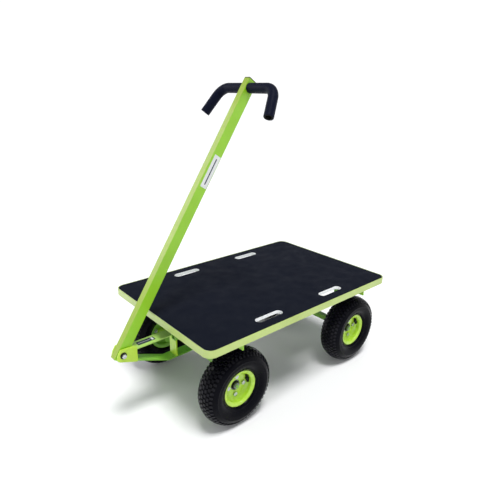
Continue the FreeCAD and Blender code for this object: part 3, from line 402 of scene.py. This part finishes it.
def makeDeckBoard():
    bm = roundEdges(mergedCopy("deck_board"), deckLook["edge"] * mm)
    low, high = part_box("deck_board")
    for face in bm.faces:
        inside = face.calc_center_median()
        upright = abs(face.normal.z) < deckLook["uprightBelow"]
        clear = min(inside.y - low.y, high.y - inside.y) > deckLook["rim"] * mm
        face.material_index = 1 if upright and clear else 0
    addPiece("deck_board_made", bm, ["deckFilm", "plyEdge"], "chassis",
             ["deck_board"])


makeDeckBoard()
print("deck board")


# bolts and nuts: the washers are black as a painted shadow ring round each head, and the wheel
# nuts take darker steel as painted shade

boltSets = {
    "pivot_bolt": {"round": 0.4, "washerFrom": 8.5, "head": "zinc"},
    "front_wheel_nuts": {"round": 0.6, "washerFrom": 11.3, "head": "darkSteelAndPaintedShade"},
    "rear_wheel_nuts": {"round": 0.6, "washerFrom": 11.3, "head": "darkSteelAndPaintedShade"},
}


def makeBoltSet(node, look):
    bm = roundEdges(mergedCopy(node), look["round"] * mm)
    middle = middleOf(node)
    for face in bm.faces:
        reach = max(math.hypot(vert.co.x - middle.x, vert.co.z - middle.z) for vert in face.verts)
        # faces past the washer radius are the washers, black as a painted shadow ring
        face.material_index = 1 if reach > look["washerFrom"] * mm else 0
    addPiece(node + "_made", bm, [look["head"], "blackCap"], bodyOf[node], [node])


for node, look in boltSets.items():
    makeBoltSet(node, look)


# blank tag and label, each with one plain rule in place of print

ruleThick = 0.12
labelLook = {"up": 620.0, "back": 3.0, "side": 13.0, "long": 88.0, "wide": 4.0, "round": 0.1}
tagLook = {"patchLong": 7.0, "patchWide": 15.0, "lineWide": 1.6, "inset": 4.0, "round": 0.1}


def flatBar(bm, size, place):               # a thin raised bar in the piece's second finish
    made = bmesh.ops.create_cube(bm, size=1.0, matrix=place @ Matrix.Diagonal((*size, 1)))
    for face in {face for vert in made["verts"] for face in vert.link_faces}:
        face.material_index = 1


def makeLabel():
    bm = roundEdges(mergedCopy("drawbar_label"), labelLook["round"] * mm)
    stand = (Matrix.Translation(middleOf("pivot_bush"))
             @ Matrix.Rotation(math.radians(-drawbarLook["lean"]), 4, "Y"))
    spot = Vector((-labelLook["back"], labelLook["side"], labelLook["up"])) * mm
    size = Vector((labelLook["wide"], ruleThick, labelLook["long"])) * mm
    flatBar(bm, size, stand @ Matrix.Translation(spot))
    addPiece("drawbar_label_made", bm, ["whiteFilm", "navyFilm"], "drawbar",
             ["drawbar_label"])


def makeTag():
    bm = roundEdges(mergedCopy("yoke_tag"), tagLook["round"] * mm)
    low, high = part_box("yoke_tag")
    middle, inset = (low.y + high.y) / 2, tagLook["inset"] * mm
    patch = Vector((low.x + inset + tagLook["patchLong"] * mm / 2, middle, high.z))
    size = Vector((tagLook["patchLong"], tagLook["patchWide"], ruleThick)) * mm
    flatBar(bm, size, Matrix.Translation(patch))
    length = high.x - low.x - 3 * inset - tagLook["patchLong"] * mm
    line = Vector((high.x - inset - length / 2, middle, high.z))
    flatBar(bm, (length, tagLook["lineWide"] * mm, ruleThick * mm), Matrix.Translation(line))
    addPiece("yoke_tag_made", bm, ["navyFilm", "whiteFilm"], "steering",
             ["yoke_tag"])


makeLabel()
makeTag()
print("labels")


# weld beads: overlapping drops along each seam

weldLook = {"drop": 2.1, "pitch": 1.7, "small": 0.9, "around": 8, "along": 5, "creaseAngle": 60.0,
            "endIn": 2.0, "seamIn": 3.0, "edgeIn": 1.0, "arm": 5.0, "hanger": 6.0}


def weldBead(bm, start, end):
    start, end = Vector(start), Vector(end)
    count = max(2, round((end - start).length / (weldLook["pitch"] * mm)))
    for number in range(count + 1):
        size = weldLook["drop"] * mm * (1.0 if number % 2 else weldLook["small"])
        bmesh.ops.create_uvsphere(bm, u_segments=weldLook["around"], v_segments=weldLook["along"],
                                  radius=size,
                                  matrix=Matrix.Translation(start.lerp(end, number / count)))


def addWelds(name, body, finish, seams):
    bm = bmesh.new()
    for start, end in seams:
        weldBead(bm, start, end)
    addPiece(name, bm, finish, body, (), weldLook["creaseAngle"])


def yokeSeams():                            # straps to the fork, and both ends of the post
    fork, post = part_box("fork_bracket"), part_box("yoke_post")
    upper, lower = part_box("upper_strap"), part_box("lower_strap")
    half = upper[1].y - weldLook["endIn"] * mm
    spots = [(fork[0].x, z) for z in (upper[1].z, upper[0].z, lower[1].z)]
    spots += [(x, z) for x in (post[0].x, post[1].x) for z in (post[0].z, post[1].z)]
    return [((x, -half, z), (x, half, z)) for x, z in spots]


def frontSeams():                           # beam ends to the drop legs, and legs to the stubs
    legs, beam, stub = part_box("drop_legs"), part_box("front_axle_beam"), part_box("stub_axles")
    endIn, seamIn, edgeIn = (weldLook[key] * mm for key in ("endIn", "seamIn", "edgeIn"))
    seams = [((x, y, beam[0].z + seamIn), (x, y, beam[1].z - seamIn))
             for y in (beam[0].y, beam[1].y) for x in (beam[0].x + endIn, beam[1].x - endIn)]
    for y in (legs[0].y, legs[1].y):
        seams += [((x, y, stub[0].z + edgeIn), (x, y, stub[1].z - edgeIn))
                  for x in (stub[0].x, stub[1].x)]
        seams.append(((stub[0].x, y, stub[1].z), (stub[1].x, y, stub[1].z)))
    return seams


def rearSeams():                            # axle to its hangers, and hangers to the rails
    hangers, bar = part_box("rear_axle_brackets"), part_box("rear_axle")
    endIn, seamIn = weldLook["endIn"] * mm, weldLook["seamIn"] * mm
    seams = []
    for side in (-1, 1):
        for y in (side * hangers[1].y, side * (hangers[1].y - weldLook["hanger"] * mm)):
            seams.append(((bar[0].x + endIn, y, bar[1].z), (bar[1].x - endIn, y, bar[1].z)))
            seams.append(((hangers[0].x + seamIn, y, hangers[1].z),
                          (hangers[1].x - seamIn, y, hangers[1].z)))
    return seams


def deckSeams():                            # end outriggers to the inside of the hoop
    hoop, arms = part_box("deck_frame"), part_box("outriggers")
    inner = hoop[1].y - weldLook["seamIn"] * mm
    foot, arm = hoop[0].z + weldLook["edgeIn"] * mm, weldLook["arm"] * mm
    return [((x, side * inner, foot), (x, side * inner, arms[1].z)) for side in (-1, 1)
            for x in (arms[0].x, arms[0].x + arm, arms[1].x - arm, arms[1].x)]


addWelds("yoke_welds", "steering", "forkPaint", yokeSeams())
addWelds("front_beam_welds", "steering", "shadePaint", frontSeams())
addWelds("rear_axle_welds", "chassis", "shadePaint", rearSeams())
addWelds("deck_welds", "chassis", "shadePaint", deckSeams())
print("welds")


# wheels

tyreLook = {
    "side": [(51.3, 13.0), (51.3, 19.3), (57.2, 22.3), (61.6, 24.1), (62.6, 27.2), (64.2, 30.2),
             (66.6, 32.6), (68.2, 34.4), (69.6, 34.9), (71.2, 34.7), (73.6, 36.3), (78.0, 38.9),
             (83.0, 41.0), (88.0, 42.1), (93.0, 42.5), (98.0, 42.2), (99.4, 42.7), (100.8, 42.0),
             (104.5, 40.6), (109.0, 38.2), (113.0, 35.2), (117.4, 30.6), (121.4, 24.4),
             (124.4, 17.2), (126.3, 9.0), (127.2, 0.0)],
    "inside": [(119.5, 0.0), (118.0, 14.0), (112.0, 28.0), (104.0, 33.5), (90.0, 35.5),
               (74.0, 31.0), (66.0, 24.0), (58.0, 17.0)],
    # each row of blocks: out from the middle, radius, tilt, width, length, share it is turned by
    "rows": [(0.0, 127.2, 0.0, 9.6, 11.5, 0.0), (11.2, 125.9, 12.0, 9.6, 11.0, 0.5),
             (21.2, 122.9, 27.0, 9.0, 10.4, 0.0), (30.4, 117.6, 44.0, 10.6, 8.6, 0.5)],
    "blocks": 52, "blockRise": 2.6, "blockRound": 0.8, "steps": 104,
}


def makeTyre():
    right = [(radius, -out) for radius, out in reversed(tyreLook["side"][:-1])]
    insideRight = [(radius, -out) for radius, out in reversed(tyreLook["inside"][1:])]
    bm = turnProfile(tyreLook["side"] + right + insideRight + tyreLook["inside"],
                     tyreLook["steps"])
    treadBlocks = []
    for out, radius, tilt, wide, long, shift in tyreLook["rows"]:
        for side in ((1,) if out == 0 else (1, -1)):
            for number in range(tyreLook["blocks"]):
                around = (number + shift) * 2 * math.pi / tyreLook["blocks"]
                place = (Matrix.Rotation(around, 4, "Y")
                         @ Matrix.Translation((radius * mm, side * out * mm, 0))
                         @ Matrix.Rotation(side * math.radians(tilt), 4, "Z")
                         @ Matrix.Diagonal((2 * tyreLook["blockRise"] * mm, wide * mm,
                                            long * mm, 1)))
                made = bmesh.ops.create_cube(bm, size=1.0, matrix=place)
                treadBlocks += made["verts"]
                for face in {face for vert in made["verts"] for face in vert.link_faces}:
                    # block faces take the painted glint rubber
                    face.material_index = 1
    edges = {edge for vert in treadBlocks for edge in vert.link_edges}
    bmesh.ops.bevel(bm, geom=list(edges), offset=tyreLook["blockRound"] * mm,
                    offset_type="OFFSET", segments=1, profile=0.5, affect="EDGES", material=-1)
    return bm


bearingLook = {"bore": 7.55, "outside": 17.5, "width": 11.0, "outer": -1.0, "inner": -25.0,
               "lip": 2.2, "slope": 2.4, "recess": 0.5, "seal": 2.5, "steps": 48}


def makeBearings():                         # two rings with recessed rubber seals
    bore, outside = bearingLook["bore"], bearingLook["outside"]
    whole = bmesh.new()
    for face in (bearingLook["outer"], bearingLook["inner"]):
        back = face - bearingLook["width"]
        lip, slope, sunk = bearingLook["lip"], bearingLook["slope"], face - bearingLook["recess"]
        front = [(bore, face), (bore + lip, face), (bore + slope, sunk),
                 (outside - slope, sunk), (outside - lip, face), (outside, face)]
        rear = [(radius, face + back - out) for radius, out in reversed(front)]
        ring = turnProfile(front + rear, bearingLook["steps"])
        for part in ring.faces:
            middle = part.calc_center_median()
            reach = math.hypot(middle.x, middle.z) / mm
            sealed = bore + bearingLook["seal"] < reach < outside - bearingLook["seal"]
            part.material_index = 1 if sealed else 0
        mesh = bpy.data.meshes.new("bearingRing")
        ring.to_mesh(mesh)
        ring.free()
        whole.from_mesh(mesh)
        bpy.data.meshes.remove(mesh)
    return whole


valveLook = {"radius": 4.5, "from": 39.2, "to": 49.0, "out": 7.0, "grips": 12, "groove": 0.9,
             "round": 0.4}
valveTurn = {"front_left": -77, "front_right": 35, "rear_left": -67, "rear_right": 110}


def makeValveCap():                         # ribbed dust cap on the end of the stem
    low, high = valveLook["from"] * mm, valveLook["to"] * mm
    bm = bmesh.new()
    bmesh.ops.create_cone(bm, cap_ends=True, segments=2 * valveLook["grips"],
                          radius1=valveLook["radius"] * mm, radius2=valveLook["radius"] * mm,
                          depth=high - low)
    for vert in bm.verts:
        if round(math.atan2(vert.co.y, vert.co.x) * valveLook["grips"] / math.pi) % 2:
            vert.co.xy *= valveLook["groove"]
    bmesh.ops.translate(bm, verts=bm.verts, vec=(0, valveLook["out"] * mm, (low + high) / 2))
    return roundEdges(bm, valveLook["round"] * mm, 50.0)


def wheelPlace(wheel):
    facing = 0 if wheel.endswith("left") else math.pi
    return (Matrix.Translation(middleOf(wheel + "_tyre")) @ Matrix.Rotation(facing, 4, "Z")
            @ Matrix.Rotation(math.radians(valveTurn[wheel]), 4, "Y"))


def makeWheels():
    made = {"tyre": (makeTyre(), ["tyreRubber", "treadRubberPaintedGlint"], 40.0),
            # bearing rings take the darker steel as painted shade in the hub
            "bearings": (makeBearings(), ["darkSteelAndPaintedShade", "tubeRubber"], 30.0),
            "valve_cap": (makeValveCap(), "blackCap", 40.0)}
    for wheel in wheelNames:
        for part, (shape, finish, crease) in made.items():
            bm = shape.copy()
            bmesh.ops.transform(bm, matrix=wheelPlace(wheel), verts=bm.verts)
            node = wheel + "_" + part
            addPiece(node + "_made", bm, finish, wheel + "_wheel",
                     [node] if node in cad else (), crease)
    for shape, finish, crease in made.values():
        shape.free()


makeWheels()
print("wheels")


# pieces that keep the CAD shape

keptFinish = {"turntable_upper_race": "darkSteelAndPaintedShade", "turntable_lower_race": "darkSteelAndPaintedShade",
              "turntable_balls": "zinc"}
for wheel in wheelNames:
    keptFinish[wheel + "_inner_tube"] = "tubeRubber"
for node, finish in keptFinish.items():
    mesh = cad[node].data
    for index in range(max(1, len(mesh.materials))):
        if index < len(mesh.materials):
            mesh.materials[index] = finishes[finish]
        else:
            mesh.materials.append(finishes[finish])
print("kept nodes:", len(keptFinish))


# floor, light and camera

stageLook = {"floor": (0.94, 0.94, 0.94), "floorReach": 60.0, "sky": 1.06,
             "horizon": (1.0, 1.0, 1.0), "ceiling": (0.30, 0.31, 0.33),
             "fadeFrom": 0.20, "fadeTo": 0.42,
             "sun": 2.5, "softness": 20.0, "sunFrom": (0.06, 0.24, 0.95)}
lampLook = {"sideLight": {"place": (1.45, -2.44, 1.93), "aim": (0.2, 0, 0.7), "size": 1.6,
                          "power": 22.0},
            "glintLight": {"place": (-0.9, 2.6, 1.3), "aim": (0, 0.2, 0.15), "size": 0.35,
                           "power": 3.0}}


def makeStage():
    bm = bmesh.new()
    bmesh.ops.create_grid(bm, x_segments=1, y_segments=1, size=stageLook["floorReach"])
    mesh = bpy.data.meshes.new("floor")
    bm.to_mesh(mesh)
    bm.free()
    floor = bpy.data.objects.new("floor", mesh)
    bpy.context.scene.collection.objects.link(floor)
    floorPaint = {"colour": stageLook["floor"], "rough": 0.8, "specular": 0.2}
    mesh.materials.append(startMaterial("floorPaint", floorPaint)[0])


def addArea(name, look):
    light = bpy.data.lights.new(name, "AREA")
    light.size = look["size"]
    light.energy = look["power"]
    lamp = bpy.data.objects.new(name, light)
    turn = (Vector(look["aim"]) - Vector(look["place"])).to_track_quat("-Z", "Y")
    lamp.matrix_world = Matrix.Translation(look["place"]) @ turn.to_matrix().to_4x4()
    bpy.context.scene.collection.objects.link(lamp)


def makeLight():                            # bright horizon, dim ceiling, one soft key light
    world = bpy.data.worlds.new("studio")
    world.use_nodes = True
    tree = world.node_tree
    sky = tree.nodes["Background"]
    sky.inputs["Strength"].default_value = stageLook["sky"]
    split = tree.nodes.new("ShaderNodeSeparateXYZ")
    tree.links.new(tree.nodes.new("ShaderNodeTexCoord").outputs["Generated"], split.inputs[0])
    height = spread(tree, split.outputs["Z"], 0.0, 1.0, stageLook["fadeFrom"], stageLook["fadeTo"])
    tree.links.new(blendColours(tree, height, stageLook["horizon"], stageLook["ceiling"]),
                   sky.inputs["Color"])
    bpy.context.scene.world = world
    sun = bpy.data.lights.new("keyLight", "SUN")
    sun.energy = stageLook["sun"]
    sun.angle = math.radians(stageLook["softness"])
    lamp = bpy.data.objects.new("keyLight", sun)
    lamp.matrix_world = Vector(stageLook["sunFrom"]).to_track_quat("Z", "Y").to_matrix().to_4x4()
    bpy.context.scene.collection.objects.link(lamp)
    for name, look in lampLook.items():
        addArea(name, look)


cameraLook = {"place": (0.96085, 1.14340, 1.00610), "aim": (-0.09299, -0.05354, 0.43845),
              "sensor": 36.0, "lens": 32.293, "roll": 0.837}


def makeCamera():
    lens = bpy.data.cameras.new("camera")
    lens.sensor_width = cameraLook["sensor"]
    lens.lens = cameraLook["lens"]
    camera = bpy.data.objects.new("camera", lens)
    place, aim = Vector(cameraLook["place"]), Vector(cameraLook["aim"])
    turn = (aim - place).to_track_quat("-Z", "Y").to_matrix().to_4x4()
    camera.matrix_world = (Matrix.Translation(place) @ turn
                           @ Matrix.Rotation(math.radians(cameraLook["roll"]), 4, "Z"))
    bpy.context.scene.collection.objects.link(camera)
    bpy.context.scene.camera = camera


makeStage()
makeLight()
makeCamera()
bpy.context.scene.view_settings.view_transform = "Standard"
print("stage, light and camera")
